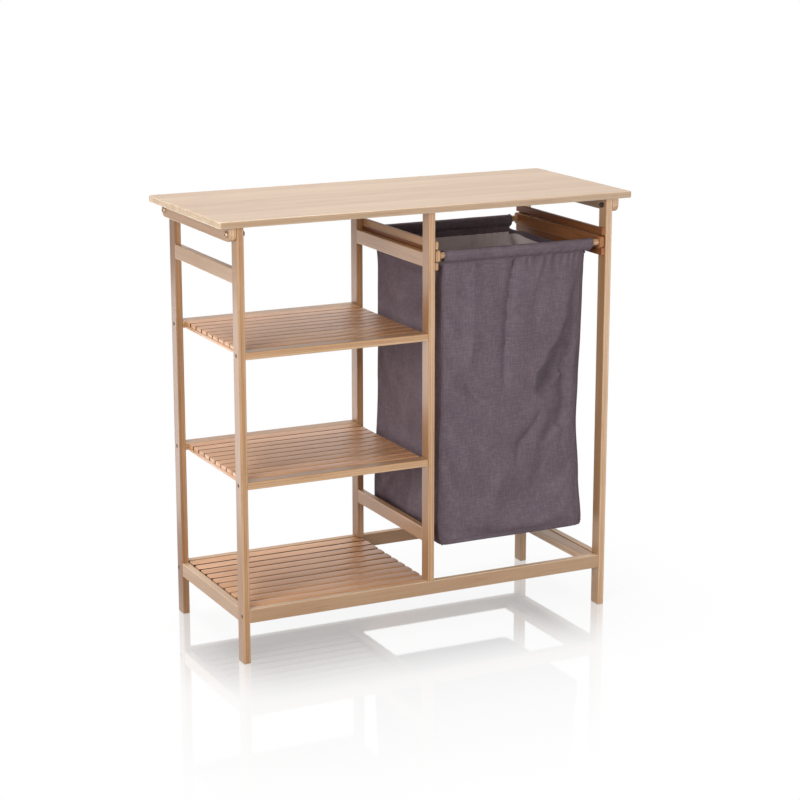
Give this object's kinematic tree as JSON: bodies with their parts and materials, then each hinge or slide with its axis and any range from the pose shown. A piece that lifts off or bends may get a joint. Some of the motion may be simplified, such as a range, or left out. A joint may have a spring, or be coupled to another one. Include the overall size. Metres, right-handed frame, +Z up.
{
  "type": "laundry cabinet",
  "caption": "Bamboo storage unit with slatted shelves beside a fabric laundry bag that slides out on a carriage under a board top.",
  "frame": {"origin": "on the floor under the middle of the top board", "axes": "+X along the unit towards the bag bay, +Y towards the wall, +Z up; the bag slides out towards -Y"},
  "size_m": [0.8, 0.342, 0.7835],
  "materials": {
    "board_bamboo": "clear satin lacquer on edge-glued bamboo",
    "bar_bamboo": "clear satin lacquer on bamboo bars",
    "slat_bamboo": "clear satin lacquer on bamboo slats",
    "linen": "mauve-grey linen-look weave",
    "lining": "grey plain-weave lining",
    "bolt_steel": "satin zinc plate",
    "screw_steel": "dark zinc plate"
  },
  "bodies": {
    "frame": {"base_screw_front": "screw_steel", "base_screw_rear": "screw_steel", "bottom_bar_right": "bar_bamboo", "bottom_rail_left": "bar_bamboo", "bottom_rail_right": "bar_bamboo", "bottom_shelf_deck": "slat_bamboo", "cleat_bolt_front_left": "bolt_steel", "cleat_bolt_front_right": "bolt_steel", "cleat_bolt_rear_left": "bolt_steel", "cleat_bolt_rear_right": "bolt_steel", "cleat_left": "bar_bamboo", "cleat_nut_front_left": "screw_steel", "cleat_nut_front_right": "screw_steel", "cleat_nut_rear_left": "screw_steel", "cleat_nut_rear_right": "screw_steel", "cleat_right": "bar_bamboo", "guide_left_lower": "bar_bamboo", "guide_left_upper": "bar_bamboo", "guide_right_lower": "bar_bamboo", "guide_right_upper": "bar_bamboo", "leg_front_left": "bar_bamboo", "leg_front_right": "bar_bamboo", "leg_rear_left": "bar_bamboo", "leg_rear_right": "bar_bamboo", "leg_screw_front_bottom_left": "screw_steel", "leg_screw_front_bottom_right": "screw_steel", "leg_screw_front_middle": "screw_steel", "leg_screw_front_upper": "screw_steel", "leg_screw_rear_bottom_left": "screw_steel", "leg_screw_rear_bottom_right": "screw_steel", "leg_screw_rear_middle": "screw_steel", "leg_screw_rear_upper": "screw_steel", "lower_rail_middle": "bar_bamboo", "middle_shelf_deck": "slat_bamboo", "middle_shelf_rail_front": "bar_bamboo", "middle_shelf_rail_rear": "bar_bamboo", "post_front": "bar_bamboo", "post_rear": "bar_bamboo", "post_screw_front_middle": "screw_steel", "post_screw_front_upper": "screw_steel", "post_screw_rear_middle": "screw_steel", "post_screw_rear_upper": "screw_steel", "stretcher_front": "bar_bamboo", "stretcher_rear": "bar_bamboo", "top_board": "board_bamboo", "upper_rail_left": "bar_bamboo", "upper_rail_middle": "bar_bamboo", "upper_rail_right": "bar_bamboo", "upper_shelf_deck": "slat_bamboo", "upper_shelf_rail_front": "bar_bamboo", "upper_shelf_rail_rear": "bar_bamboo"},
    "carriage": {"carriage_bar_left": "bar_bamboo", "carriage_bar_right": "bar_bamboo", "dowel_front": "bar_bamboo", "dowel_rear": "bar_bamboo", "bag": "linen"}
  },
  "joints": [
    {"name": "carriage_slide", "type": "slide", "parent": "frame", "child": "carriage", "axis": [0, -1, 0], "range_m": [0, 0.24]}
  ]
}
